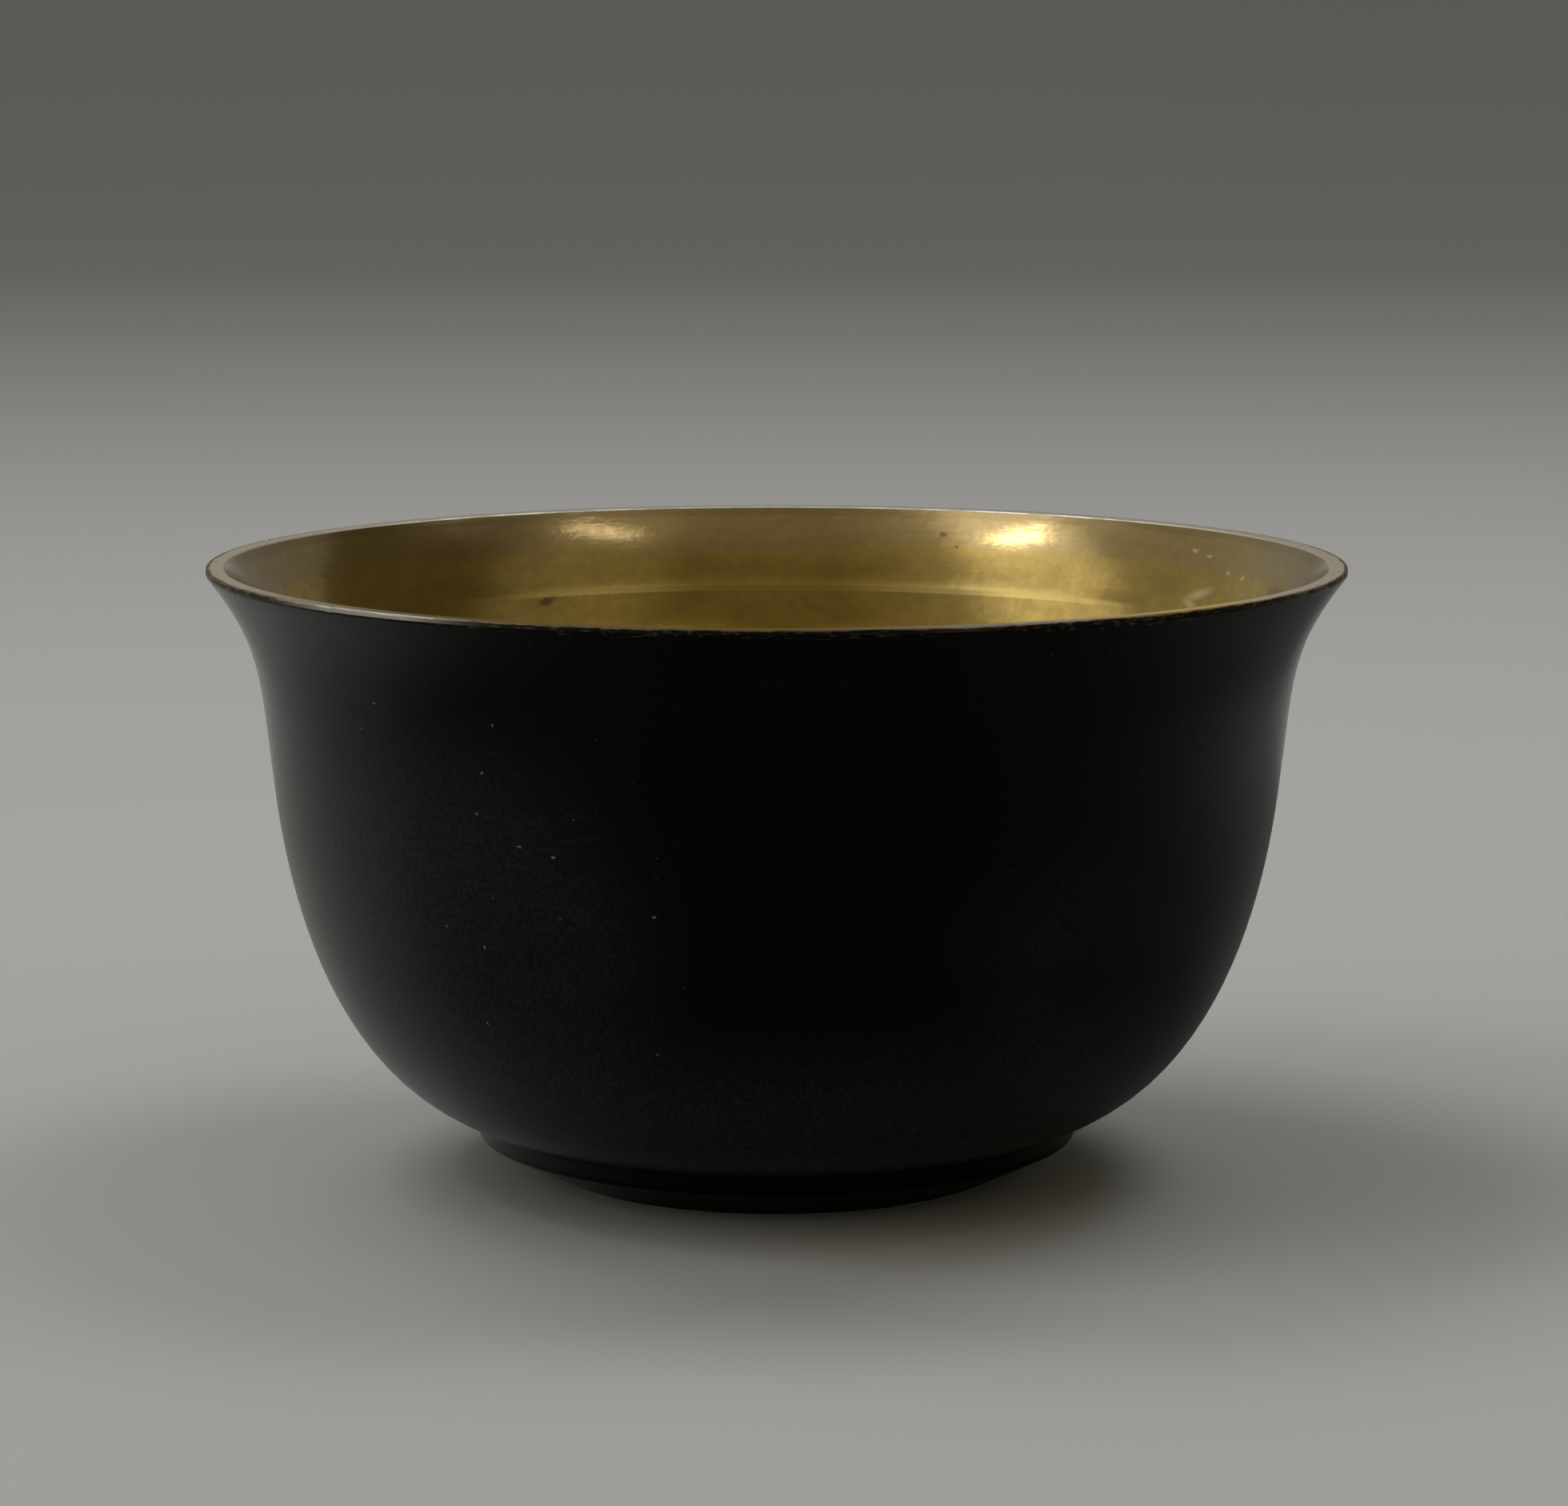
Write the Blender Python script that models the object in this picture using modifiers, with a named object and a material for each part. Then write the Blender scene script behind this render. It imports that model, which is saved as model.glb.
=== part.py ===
# Footed metal bowl with a flared lip, turned in one piece: blackened outside, bare brass inside.
# Metres, +Z up, origin at the middle of the plane that the bowl stands on.
from math import atan2, cos, pi, radians, sin, tan

import bpy
import numpy as np
from mathutils import Vector

# Overall sizes
MOUTH_DIAMETER = 0.1450     # outer edge of the lip
HEIGHT = 0.0785             # standing plane to the flat top of the lip

# Lip
LIP_EDGE = 0.0008           # upright outer edge below the flat top
LIP_ROUND = 0.00025         # both corners of the flat top
FLARE_ANGLE = radians(52)   # underside of the lip, above the horizontal

# Waist, the steepest part of the outside, where the flare has died out
WAIST_INSET = 0.0081        # how far it draws in from the lip's edge
WAIST_DEPTH = 0.0265        # below the top of the lip
WAIST_ANGLE = radians(83)

# Walls
WALL_AT_LIP = 0.00225
WALL = 0.0025               # below the turned step
STEP_DEPTH = 0.0113         # from the lip down to the step inside
STEP_RAMP = 0.0018          # height over which the wall thins above the step
STEP_EASE = 1.4             # over 1: steepest at the step, then dying out upwards
FLOOR = 0.0030              # metal in the middle of the bottom

# Foot
FOOT_DIAMETER = 0.0772
FOOT_HEIGHT = 0.0070        # standing plane to the body's underside
FOOT_WALL = 0.0023          # the upright part of the foot
FOOT_ROUND = 0.0008
BASE_ANGLE = radians(17)    # the body where it meets the foot, above the horizontal
SHOULDER_REACH = 0.0096     # foot wall in to the ring that the bowl stands on
RING_WIDTH = 0.0030
RING_ROUND = 0.0008
RECESS_DEPTH = 0.0035       # hollow inside the ring
RECESS_DRAFT = 0.0012       # lean of the hollow's side
RECESS_ROUND = 0.0012

# Fullness of the curves: a Bezier handle as a share of the straight line between the curve's ends
FLARE_PULL_AT_LIP = 0.417
FLARE_PULL_AT_WAIST = 0.471
BELLY_PULL_AT_WAIST = 0.099
BELLY_PULL_AT_FOOT = 0.451
FLOOR_PULL_AT_SIDE = 0.30
FLOOR_PULL_AT_MIDDLE = 0.45

# Facets
TURN_STEPS = 64
LIP_STEPS = 3               # inside, from the lip to the head of the step
RAMP_STEPS = 2
FLARE_STEPS = 6
BELLY_STEPS = 12
FLOOR_STEPS = 4
CORNER_STEPS = 2
CURVE_SAMPLES = 200
MERGE_DISTANCE = 0.00001
SHARP_ANGLE = radians(30)

# Looks
BLACKENED = {"colour": (0.014, 0.014, 0.013, 1.0), "roughness": 0.36, "metallic": 0.75}
BARE_BRASS = {"colour": (0.46, 0.33, 0.12, 1.0), "roughness": 0.30, "metallic": 1.0}


def clear_scene():
    """Takes every object out of the open scene."""
    for thing in list(bpy.data.objects):
        bpy.data.objects.remove(thing, do_unlink=True)


def metal(name, look):
    """One Principled BSDF material."""
    material = bpy.data.materials.new(name)
    material.use_nodes = True
    shader = material.node_tree.nodes["Principled BSDF"]
    shader.inputs["Base Color"].default_value = look["colour"]
    shader.inputs["Roughness"].default_value = look["roughness"]
    shader.inputs["Metallic"].default_value = look["metallic"]
    material.diffuse_color = look["colour"]
    return material


class Curve:
    """A Bezier curve in the profile plane, from its ends, their slopes downwards and in, and two pulls."""

    def __init__(self, start, start_angle, start_pull, end, end_angle, end_pull):
        chord = (Vector(end) - Vector(start)).length
        start_way = Vector((-cos(start_angle), -sin(start_angle)))
        end_way = Vector((-cos(end_angle), -sin(end_angle)))
        self.a = Vector(start)
        self.b = self.a + start_way * start_pull * chord
        self.d = Vector(end)
        self.c = self.d - end_way * end_pull * chord

    def point(self, t):
        s = 1.0 - t
        return s**3 * self.a + 3 * s * s * t * self.b + 3 * s * t * t * self.c + t**3 * self.d

    def inward(self, t):
        """Unit vector square to the curve, into the bowl."""
        s = 1.0 - t
        way = s * s * (self.b - self.a) + 2 * s * t * (self.c - self.b) + t * t * (self.d - self.c)
        way.normalize()
        return Vector((way.y, -way.x))

    def at_height(self, height):
        """The t at which a curve that always runs down passes a height."""
        samples = [1.0 - number / CURVE_SAMPLES for number in range(CURVE_SAMPLES + 1)]
        heights = [self.point(t).y for t in samples]
        return float(np.interp(height, heights, samples))


def rounded(corners):
    """Turns (radius from axis, height, rounding) corners into points, with an arc at each rounding."""
    points = []
    for number, (r, z, rounding) in enumerate(corners):
        corner = Vector((r, z))
        if rounding == 0.0:
            points.append(corner)
            continue
        back = (Vector(corners[number - 1][:2]) - corner).normalized()
        ahead = (Vector(corners[number + 1][:2]) - corner).normalized()
        half = back.angle(ahead) / 2
        centre = corner + (back + ahead).normalized() * rounding / sin(half)
        first = corner + back * rounding / tan(half) - centre
        last = corner + ahead * rounding / tan(half) - centre
        turn = atan2(first.cross(last), first.dot(last))
        for step in range(CORNER_STEPS + 1):
            angle = turn * step / CORNER_STEPS
            spoke = Vector((first.x * cos(angle) - first.y * sin(angle),
                            first.x * sin(angle) + first.y * cos(angle)))
            points.append(centre + spoke)
    return points


def outer_curves():
    """The flare from the lip to the waist, and the belly from the waist to the foot."""
    lip = (MOUTH_DIAMETER / 2, HEIGHT - LIP_EDGE)
    waist = (MOUTH_DIAMETER / 2 - WAIST_INSET, HEIGHT - WAIST_DEPTH)
    base = (FOOT_DIAMETER / 2, FOOT_HEIGHT)
    flare = Curve(lip, FLARE_ANGLE, FLARE_PULL_AT_LIP, waist, WAIST_ANGLE, FLARE_PULL_AT_WAIST)
    belly = Curve(waist, WAIST_ANGLE, BELLY_PULL_AT_WAIST, base, BASE_ANGLE, BELLY_PULL_AT_FOOT)
    return flare, belly


def wall_at(height):
    """Thickness of the wall behind a point of the outside."""
    below_head = 1.0 - (height - (HEIGHT - STEP_DEPTH)) / STEP_RAMP
    share = min(max(below_head, 0.0), 1.0)
    return WALL_AT_LIP + (WALL - WALL_AT_LIP) * share**STEP_EASE


def inner_point(curve, t):
    """The inside of the wall behind a point of an outer curve."""
    outside = curve.point(t)
    return outside + curve.inward(t) * wall_at(outside.y)


def inner_wall(flare, belly):
    """The inside from the bottom's edge up to just under the lip, past the step where the wall thins."""
    step = HEIGHT - STEP_DEPTH
    ramp = [flare.at_height(step + STEP_RAMP * number / RAMP_STEPS) for number in range(RAMP_STEPS + 1)]
    foot, head = ramp[0], ramp[-1]
    below = FLARE_STEPS - LIP_STEPS
    points = [inner_point(belly, number / BELLY_STEPS) for number in range(BELLY_STEPS, 0, -1)]
    points += [inner_point(flare, 1.0 + (foot - 1.0) * number / below) for number in range(below)]
    points += [inner_point(flare, t) for t in ramp]
    points += [inner_point(flare, head * number / LIP_STEPS) for number in range(LIP_STEPS - 1, 0, -1)]
    return points


def lip_corners(flare, below):
    """The flat top of the lip, whose inner edge is where the inside of the flare reaches the top."""
    inside = inner_point(flare, 0.0)
    inner_edge = inside.x + (HEIGHT - inside.y) / tan(FLARE_ANGLE)
    edge = MOUTH_DIAMETER / 2
    top = [(below.x, below.y, 0.0), (inner_edge, HEIGHT, LIP_ROUND), (edge, HEIGHT, LIP_ROUND),
           (edge, HEIGHT - LIP_EDGE, 0.0)]
    return rounded(top)[1:]


def foot_corners():
    """The foot's upright wall, its sloping shoulder, the ring that the bowl stands on, and the hollow."""
    foot = FOOT_DIAMETER / 2
    ring_outer = foot - SHOULDER_REACH
    ring_inner = ring_outer - RING_WIDTH
    return rounded([
        (foot, FOOT_HEIGHT, 0.0),
        (foot, FOOT_HEIGHT - FOOT_WALL, FOOT_ROUND),
        (ring_outer, 0.0, RING_ROUND),
        (ring_inner, 0.0, 0.0),
        (ring_inner - RECESS_DRAFT, RECESS_DEPTH, RECESS_ROUND),
        (0.0, RECESS_DEPTH, 0.0),
    ])


def floor_curve(side):
    """The inside of the bottom, from the middle to where the wall begins."""
    middle = (0.0, RECESS_DEPTH + FLOOR)
    floor = Curve(side, BASE_ANGLE, FLOOR_PULL_AT_SIDE, middle, 0.0, FLOOR_PULL_AT_MIDDLE)
    return [floor.point(1.0 - number / FLOOR_STEPS) for number in range(FLOOR_STEPS)]


def bowl_profile():
    """Half of the section, from the middle of the inside, over the lip, to the middle of the underside."""
    flare, belly = outer_curves()
    inside = inner_wall(flare, belly)
    points = floor_curve(inside[0]) + inside
    points += lip_corners(flare, inside[-1])
    points += [flare.point(number / FLARE_STEPS) for number in range(1, FLARE_STEPS + 1)]
    points += [belly.point(number / BELLY_STEPS) for number in range(1, BELLY_STEPS)]
    points += foot_corners()
    return points


def turned(name, profile, collection):
    """A closed solid: the profile turned about Z by a Screw modifier, which is then applied."""
    sketch = bpy.data.meshes.new(name + "_profile")
    verts = [(point.x, 0.0, point.y) for point in profile]
    edges = [(number, number + 1) for number in range(len(verts) - 1)]
    sketch.from_pydata(verts, edges, [])
    lathe = bpy.data.objects.new(name + "_profile", sketch)
    collection.objects.link(lathe)
    screw = lathe.modifiers.new("turn", "SCREW")
    screw.axis = "Z"
    screw.angle = 2 * pi
    screw.steps = TURN_STEPS
    screw.render_steps = TURN_STEPS
    screw.use_merge_vertices = True
    screw.merge_threshold = MERGE_DISTANCE
    view = bpy.context.evaluated_depsgraph_get()
    mesh = bpy.data.meshes.new_from_object(lathe.evaluated_get(view))
    bpy.data.objects.remove(lathe, do_unlink=True)
    solid = bpy.data.objects.new(name, mesh)
    collection.objects.link(solid)
    return solid


def colour_by_side(bowl, outside, inside):
    """Every face that looks up, the inside and the top of the lip, is bare brass."""
    bowl.data.materials.clear()
    bowl.data.materials.append(outside)
    bowl.data.materials.append(inside)
    for face in bowl.data.polygons:
        face.material_index = 1 if face.normal.z > 0.0 else 0


def build():
    clear_scene()
    collection = bpy.data.collections.new("footed_bowl")
    bpy.context.scene.collection.children.link(collection)
    bowl = turned("bowl", bowl_profile(), collection)
    colour_by_side(bowl, metal("blackened_outside", BLACKENED), metal("bare_brass_inside", BARE_BRASS))
    bowl.data.shade_smooth()
    bowl.data.set_sharp_from_angle(angle=SHARP_ANGLE)


build()
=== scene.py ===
# %% [markdown]
# # A footed metal bowl
# The real bowl is cast in brass and turned on a lathe in one piece: a flared lip with a flat top, a full belly and a
# low foot. It is black outside and bare metal inside, and years of use have dulled and marked both. Its solid is
# already built and measured, so this lesson starts by loading that solid and keeps to its sizes. What is made here
# is the fine surface and its finishes.

# %% Load the measured solid
from math import atan2, cos, exp, pi, radians, sin, tan

import bpy
import numpy as np
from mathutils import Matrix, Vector


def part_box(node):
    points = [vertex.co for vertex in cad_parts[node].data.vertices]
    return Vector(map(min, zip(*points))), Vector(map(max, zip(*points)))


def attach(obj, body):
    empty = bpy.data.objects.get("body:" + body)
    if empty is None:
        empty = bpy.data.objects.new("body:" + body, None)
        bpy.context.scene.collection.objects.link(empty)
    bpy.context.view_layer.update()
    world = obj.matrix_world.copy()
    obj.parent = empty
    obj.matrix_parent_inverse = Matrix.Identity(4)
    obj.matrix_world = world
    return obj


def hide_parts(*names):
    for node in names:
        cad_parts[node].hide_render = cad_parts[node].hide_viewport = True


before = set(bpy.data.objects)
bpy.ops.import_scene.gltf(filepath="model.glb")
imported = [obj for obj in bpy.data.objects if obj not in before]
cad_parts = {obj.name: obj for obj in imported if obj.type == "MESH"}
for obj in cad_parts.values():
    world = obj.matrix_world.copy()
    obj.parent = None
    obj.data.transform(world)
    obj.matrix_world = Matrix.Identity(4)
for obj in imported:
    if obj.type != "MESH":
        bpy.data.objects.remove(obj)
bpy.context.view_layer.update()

low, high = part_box("bowl")
MOUTH_RADIUS = high.x
HEIGHT = high.z
print(f"bowl: {2000 * MOUTH_RADIUS:.1f} mm across the mouth, {1000 * HEIGHT:.1f} mm high")

# %% [markdown]
# The picture is taken from a little above the lip, so that the eye looks under the flare and over the near edge at
# the far inside wall. A long lens from well back keeps the mouth a flat oval. The two measures that matter are how
# far off the eye is and how far above the lip, both given here in mouth radii, because that is how they were found:
# from how flat the oval is and how much wider its near half looks than its far half.

# %% The camera
EYE_DISTANCE = 8.80 * MOUTH_RADIUS
EYE_ABOVE_LIP = 0.9665 * MOUTH_RADIUS
EYE_ASIDE = 0.0127 * MOUTH_RADIUS
EYE_DOWN = radians(8.46)
FOCAL_LENGTH = 115.29     # mm, on the standard 36 mm sensor

lens = bpy.data.cameras.new("camera")
lens.lens = FOCAL_LENGTH
lens.sensor_width = 36.0
lens.clip_start, lens.clip_end = 0.01, 100.0
camera = bpy.data.objects.new("camera", lens)
camera.location = (EYE_ASIDE, -EYE_DISTANCE, HEIGHT + EYE_ABOVE_LIP)
camera.rotation_euler = (pi / 2 - EYE_DOWN, 0.0, 0.0)
bpy.context.scene.collection.objects.link(camera)
bpy.context.scene.camera = camera
print(f"eye {1000 * EYE_DISTANCE:.0f} mm in front of the axis, {1000 * EYE_ABOVE_LIP:.0f} mm above the lip")

# %% [markdown]
# Node trees are built in code all through this lesson, so one small helper comes first. It adds a node, sets what it
# is told about it, and fills its inputs: an input that is given another node's output is linked, and one that is
# given a plain value keeps that value.

# %% A helper for node trees
def add_node(tree, kind, inputs=None, **settings):
    """One new node. Inputs are given by name or by place in the node's list."""
    node = tree.nodes.new(kind)
    for name, value in settings.items():
        setattr(node, name, value)
    for key, value in (inputs or {}).items():
        if isinstance(value, bpy.types.NodeSocket):
            tree.links.new(value, node.inputs[key])
        else:
            node.inputs[key].default_value = value
    return node


def maths(tree, operation, *values, clamp=False):
    """The result of one Math node."""
    node = add_node(tree, "ShaderNodeMath", dict(enumerate(values)), operation=operation, use_clamp=clamp)
    return node.outputs[0]


def vector_maths(tree, operation, *values, output="Vector"):
    """The result of one Vector Math node."""
    node = add_node(tree, "ShaderNodeVectorMath", dict(enumerate(values)), operation=operation)
    return node.outputs[output]


def ramp(tree, value, start, end, low=0.0, high=1.0):
    """Runs smoothly from low to high while value goes from start to end."""
    inputs = {"Value": value, "From Min": start, "From Max": end, "To Min": low, "To Max": high}
    node = add_node(tree, "ShaderNodeMapRange", inputs, interpolation_type="SMOOTHSTEP")
    return node.outputs["Result"]

# %% [markdown]
# The bowl stands on a plain pale floor that curves up into a backdrop, as paper does in a small studio. A strip of
# faces swept along one profile is enough. The curve has no edge for the eye or the metal to catch. The metal doesn't
# mirror the paper itself, which would turn a black bowl grey: where it would, it shows the dim room described further
# on. A photographer does the same by laying black cloth just out of the picture.

# %% The floor and backdrop
FLOOR_HALF_WIDTH = 5.0
FLOOR_FRONT = -5.0
FLOOR_BACK = 2.2
SWEEP_RADIUS = 1.3
BACKDROP_TOP = 2.0
SWEEP_STEPS = 24


def sweep_profile():
    """Points (y, z) from the front of the floor to the top of the backdrop."""
    points = [(y, 0.0) for y in (FLOOR_FRONT, -1.0, 0.0, 1.0)]
    for step in range(SWEEP_STEPS + 1):
        angle = pi / 2 * step / SWEEP_STEPS
        points.append((FLOOR_BACK + SWEEP_RADIUS * sin(angle), SWEEP_RADIUS * (1.0 - cos(angle))))
    return points + [(FLOOR_BACK + SWEEP_RADIUS, BACKDROP_TOP)]


profile = sweep_profile()
verts = [(side * FLOOR_HALF_WIDTH, y, z) for y, z in profile for side in (-1, 1)]
faces = [(2 * n, 2 * n + 1, 2 * n + 3, 2 * n + 2) for n in range(len(profile) - 1)]
paper = bpy.data.meshes.new("floor")
paper.from_pydata(verts, [], faces)
paper.shade_smooth()
floor = bpy.data.objects.new("floor", paper)
floor.visible_glossy = False
bpy.context.scene.collection.objects.link(floor)
print(f"floor: {len(faces)} faces")

# %% [markdown]
# The paper has no gloss. Its colour is painted darker towards the back, as painted shade where the light falls off
# with distance, so that the pale metal of the lip stands out. A trace of slow unevenness keeps it from looking like a
# flat fill.

# %% The paper's finish
PAPER_PALE = (0.70, 0.70, 0.69, 1.0)
# the colour of the painted shade at the back
PAPER_SHADED_FAR = (0.35, 0.355, 0.37, 1.0)
SHADE_START = 0.1         # metres behind the bowl
SHADE_END = 3.2


def matt(name):
    """A material without gloss, its node tree, its shader and the position on the object."""
    material = bpy.data.materials.new(name)
    material.use_nodes = True
    tree = material.node_tree
    shader = tree.nodes["Principled BSDF"]
    shader.inputs["Roughness"].default_value = 0.95
    shader.inputs["Specular IOR Level"].default_value = 0.1
    return material, tree, shader, add_node(tree, "ShaderNodeTexCoord").outputs["Object"]


def paper_finish():
    material, tree, shader, place = matt("paper_painted_shade")
    cloud = add_node(tree, "ShaderNodeTexNoise", {"Vector": place, "Scale": 2.0, "Detail": 3.0}).outputs["Fac"]
    back = add_node(tree, "ShaderNodeSeparateXYZ", {0: place}).outputs[1]
    # Painted shade: the paper's colour runs darker towards the back.
    painted_falloff = ramp(tree, back, SHADE_START, SHADE_END)
    painted_falloff = maths(tree, "ADD", painted_falloff, maths(tree, "MULTIPLY", cloud, 0.06))
    tint = add_node(tree, "ShaderNodeMix", {0: painted_falloff, 6: PAPER_PALE, 7: PAPER_SHADED_FAR}, data_type="RGBA")
    tree.links.new(tint.outputs[2], shader.inputs["Base Color"])
    return material


paper.materials.append(paper_finish())

# %% [markdown]
# What the metal does mirror, close to its foot, is a grey card that lies on the paper. The camera is not shown it,
# and it casts no shadow, but the bowl's own shadow falls on it, so the underside goes dark towards the foot as it
# would on a real table. The card is paler on the left and far to the right, and glows there a little. That draws
# the thin pale lines along the bowl's left side and under its flare.

# %% The grey card
CARD_RADIUS = 0.32
CARD_CORNERS = 64
CARD_PALE = (0.66, 0.66, 0.64, 1.0)
CARD_GREY = (0.33, 0.33, 0.32, 1.0)
CARD_GLOW = 0.22
LEFT = (-0.012, -0.060)                  # metres to the right of the middle: where the glow starts, and is full
LEFT_BACK = (-0.060, -0.010)             # and behind it
FAR_RIGHT = (0.19, 0.27)


def card_finish():
    material, tree, shader, place = matt("grey_card")
    cloud = add_node(tree, "ShaderNodeTexNoise", {"Vector": place, "Scale": 12.0, "Detail": 3.0}).outputs["Fac"]
    right, back, _ = add_node(tree, "ShaderNodeSeparateXYZ", {0: place}).outputs
    left = maths(tree, "MULTIPLY", ramp(tree, right, *LEFT), ramp(tree, back, *LEFT_BACK))
    lit = maths(tree, "ADD", left, ramp(tree, right, *FAR_RIGHT))
    shade = maths(tree, "ADD", lit, maths(tree, "MULTIPLY", maths(tree, "SUBTRACT", cloud, 0.5), 0.2))
    tint = add_node(tree, "ShaderNodeMix", {0: shade, 6: CARD_GREY, 7: CARD_PALE}, data_type="RGBA")
    tree.links.new(tint.outputs[2], shader.inputs["Base Color"])
    shader.inputs["Emission Color"].default_value = CARD_PALE
    tree.links.new(maths(tree, "MULTIPLY", lit, CARD_GLOW), shader.inputs["Emission Strength"])
    return material


turn = [2 * pi * n / CARD_CORNERS for n in range(CARD_CORNERS)]
disc = bpy.data.meshes.new("grey_card")
disc.from_pydata([(CARD_RADIUS * cos(a), CARD_RADIUS * sin(a), 0.0001) for a in turn], [], [tuple(range(CARD_CORNERS))])
disc.materials.append(card_finish())
card = bpy.data.objects.new("grey_card", disc)
card.visible_camera = False
card.visible_diffuse = False
card.visible_shadow = False
bpy.context.scene.collection.objects.link(card)
print(f"grey card: {2000 * CARD_RADIUS:.0f} mm across")

# %% [markdown]
# Bare metal shows what is around it, so on this bowl the light is half of the finish. The far inside wall is a hollow
# mirror: it shows the left of the room on its right side and the other way round. Two small softboxes give the two
# highlights under the lip. Two larger ones behind the bowl light the paper, from so high up that no wall that the
# eye sees can mirror them.

# %% The softboxes
WATTS_PER_GLOW = 4.0      # an area light's watts, for a glow of 1 over one square metre


def direction(azimuth, elevation):
    """Unit vector to a place in the room: azimuth 0 is over the camera, positive to the right, in degrees."""
    around, up = radians(azimuth), radians(elevation)
    return Vector((sin(around) * cos(up), -cos(around) * cos(up), sin(up)))


def softbox(name, place, aim, width, height, glow, tint):
    """A rectangular light at a place, turned to what it lights."""
    light = bpy.data.lights.new(name, "AREA")
    light.shape = "RECTANGLE"
    light.size, light.size_y = width, height
    light.energy = glow * WATTS_PER_GLOW * width * height
    light.color = tint
    lamp = bpy.data.objects.new(name, light)
    lamp.location = place
    lamp.rotation_euler = (place - aim).to_track_quat("Z", "Y").to_euler()
    bpy.context.scene.collection.objects.link(lamp)
    return lamp


COOL_WHITE = (0.93, 0.96, 1.0)
MOUTH = Vector((0.0, 0.0, HEIGHT))
softbox("key_left", MOUTH + direction(-77.6, 50.9), MOUTH, 0.20, 0.080, 4.2, COOL_WHITE)
softbox("key_right", MOUTH + direction(58.5, 57), MOUTH, 0.24, 0.065, 1.25, COOL_WHITE)
softbox("high_left", MOUTH + 1.4 * direction(-125, 62), MOUTH, 0.60, 0.60, 2.0, COOL_WHITE)
softbox("high_right", MOUTH + 1.4 * direction(125, 62), MOUTH, 0.60, 0.60, 2.0, COOL_WHITE)
print("4 softboxes")

# %% [markdown]
# The rest of the room is a dull glow that differs from side to side. It is described as a few upright patches of
# light, each with its middle, how wide it is at full strength and where it is gone, and how high it reaches. The
# tall window on the left is the bright one: it fills the right of the inside with gold. The side behind the camera
# is dim and warm, which leaves the front of the black outside nearly without light.
# The picture is kept in plain values, with no film-like curve, so that a colour set on a finish is the colour
# that the eye gets back under white light.

# %% The room's own glow
ROOM_LOW = (0.014, 0.013, 0.011)     # below the horizon
ROOM_HIGH = (0.085, 0.074, 0.046)    # above it
CEILING = (0.10, 0.10, 0.11)
# by lowest and highest elevation in degrees: azimuth, full within, gone beyond, and the glow
PATCHES = {
    (-15, 75): [(-72, 6, 26, (0.54, 0.54, 0.55)),           # the window
                (-100, 30, 85, (0.23, 0.23, 0.22)),         # the wall on the left
                (55, 5, 30, (0.12, 0.115, 0.105))],         # a little fill from the right
    (42, 75): [(-73, 6, 22, (0.30, 0.30, 0.32))],           # the sky in the top of the window
    (5, 80): [(0, 25, 75, (0.058, 0.048, 0.026))],          # the dim side behind the camera
    (-2, 50): [(157, 23, 29, (0.105, 0.11, 0.128)),          # the wall beyond the bowl, right, left and middle
               (-157, 23, 29, (0.045, 0.05, 0.062)),
               (180, 5, 16, (0.09, 0.09, 0.085))],
    (-25, -1): [(-155, 20, 60, (0.42, 0.42, 0.405)),        # pale ground far behind the bowl
                (155, 20, 60, (0.42, 0.42, 0.41))],
}
PAST_THE_PAPER = (0.21, 0.205, 0.19)     # what the camera sees beyond the edges of the paper
PATCH_EDGE = 0.12         # how softly a patch ends above and below, as a share of the upright direction


def room_band(tree, level, rise, lowest, highest, patches):
    """The glow of the patches that reach from one elevation to another."""
    band = None
    for azimuth, full, gone, colour in patches:
        towards = vector_maths(tree, "DOT_PRODUCT", level, tuple(direction(azimuth, 0.0)), output="Value")
        across = ramp(tree, towards, cos(radians(gone)), cos(radians(full)))
        band = vector_maths(tree, "MULTIPLY_ADD", across, colour, band or (0.0, 0.0, 0.0))
    low_edge, high_edge = sin(radians(lowest)), sin(radians(highest))
    above = ramp(tree, rise, low_edge - PATCH_EDGE, low_edge + PATCH_EDGE)
    below = ramp(tree, rise, high_edge + PATCH_EDGE, high_edge - PATCH_EDGE)
    return vector_maths(tree, "MULTIPLY", band, maths(tree, "MULTIPLY", above, below))


world = bpy.data.worlds.new("room")
world.use_nodes = True
room = world.node_tree
way = add_node(room, "ShaderNodeTexCoord").outputs["Generated"]
rise = add_node(room, "ShaderNodeSeparateXYZ", {0: way}).outputs[2]
level = vector_maths(room, "NORMALIZE", vector_maths(room, "MULTIPLY", way, (1.0, 1.0, 0.0)))
horizon = ramp(room, rise, -0.08, 0.14)
total = add_node(room, "ShaderNodeMix", {0: horizon, 6: (*ROOM_LOW, 1.0), 7: (*ROOM_HIGH, 1.0)},
                 data_type="RGBA").outputs[2]
ceiling = vector_maths(room, "SCALE", CEILING)
room.links.new(ramp(room, rise, 0.60, 0.95), ceiling.node.inputs["Scale"])
for glow in [ceiling] + [room_band(room, level, rise, *heights, patches) for heights, patches in PATCHES.items()]:
    total = vector_maths(room, "ADD", total, glow)
straight = add_node(room, "ShaderNodeLightPath").outputs["Is Camera Ray"]
shown = add_node(room, "ShaderNodeMix", {0: straight, 6: total, 7: (*PAST_THE_PAPER, 1.0)}, data_type="RGBA")
room.links.new(shown.outputs[2], room.nodes["Background"].inputs["Color"])
bpy.context.scene.world = world
bpy.context.scene.view_settings.view_transform = "Standard"
print(f"room: {sum(len(patches) for patches in PATCHES.values())} patches of light")

# %% [markdown]
# A turner works from a drawing of half the section. The outside is two curves: the flare, from the lip in to the
# waist, and the belly, from the waist to the foot. Each is a Bezier curve set by the slopes at its ends and by how
# far each end holds its slope. These are the same sizes that the solid was built from, so the fine surface lies on
# the solid, but it takes many more points and small roundings at every corner.

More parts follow.
